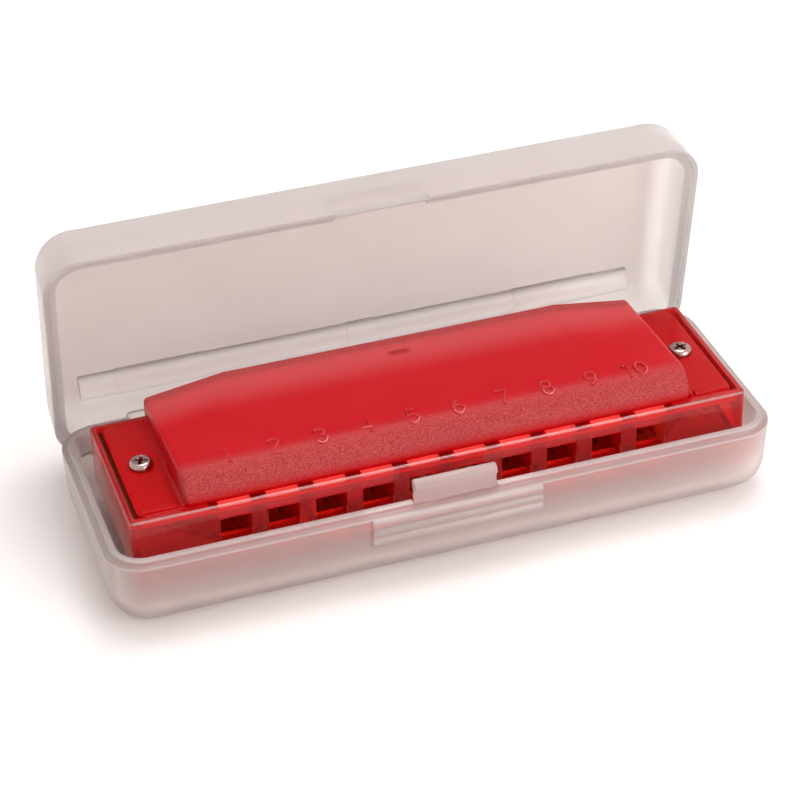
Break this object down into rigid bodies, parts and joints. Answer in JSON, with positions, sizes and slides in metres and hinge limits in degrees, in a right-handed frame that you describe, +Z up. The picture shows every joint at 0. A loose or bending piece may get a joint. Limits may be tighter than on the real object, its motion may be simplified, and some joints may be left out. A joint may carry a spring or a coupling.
{
  "type": "harmonica case",
  "caption": "Long hinged case of frosted plastic with a snap latch, shown open, holding a red mouth organ with brass reed plates.",
  "frame": {"origin": "middle of the case's flat underside", "axes": "+X along the case, from the hole marked 1 to the hole marked 10; -Y is the latch side; +Z up"},
  "size_m": [0.1084, 0.0511, 0.0468],
  "materials": {
    "case_plastic": "frosted translucent",
    "comb_plastic": "glossy translucent red",
    "cover_plastic": "glossy translucent red, finely grained on its front bulge",
    "plate_brass": "brushed",
    "reed_brass": "satin",
    "rivet_brass": "satin",
    "screw_steel": "bright plated"
  },
  "bodies": {
    "case_tray": {"case_tray": "case_plastic"},
    "case_lid": {"case_lid": "case_plastic"},
    "latch_tab": {"latch_tab": "case_plastic"},
    "instrument": {"comb": "comb_plastic", "cover_top": "cover_plastic", "cover_bottom": "cover_plastic", "reed_plate_top": "plate_brass", "reed_plate_bottom": "plate_brass", "blow_reed_1": "reed_brass", "blow_reed_2": "reed_brass", "blow_reed_3": "reed_brass", "blow_reed_4": "reed_brass", "blow_reed_5": "reed_brass", "blow_reed_6": "reed_brass", "blow_reed_7": "reed_brass", "blow_reed_8": "reed_brass", "blow_reed_9": "reed_brass", "blow_reed_10": "reed_brass", "draw_reed_1": "reed_brass", "draw_reed_2": "reed_brass", "draw_reed_3": "reed_brass", "draw_reed_4": "reed_brass", "draw_reed_5": "reed_brass", "draw_reed_6": "reed_brass", "draw_reed_7": "reed_brass", "draw_reed_8": "reed_brass", "draw_reed_9": "reed_brass", "draw_reed_10": "reed_brass", "rivets_top": "rivet_brass", "rivets_bottom": "rivet_brass", "cover_screws": "screw_steel", "cover_nuts": "screw_steel"}
  },
  "joints": [
    {"name": "lid_hinge", "type": "hinge", "parent": "case_tray", "child": "case_lid", "pos_m": [0, 0.0166, 0.00965], "axis": [1, 0, 0], "range_deg": [0, 81.5]},
    {"name": "latch_flex", "type": "hinge", "parent": "case_tray", "child": "latch_tab", "pos_m": [0, -0.01823, 0.01282], "axis": [1, 0, 0], "range_deg": [-8, 0], "stiffness_Nm_per_rad": 0.05},
    {"name": "instrument_lift", "type": "slide", "parent": "case_tray", "child": "instrument", "axis": [0, 0, 1], "range_m": [0, 0.05]}
  ]
}
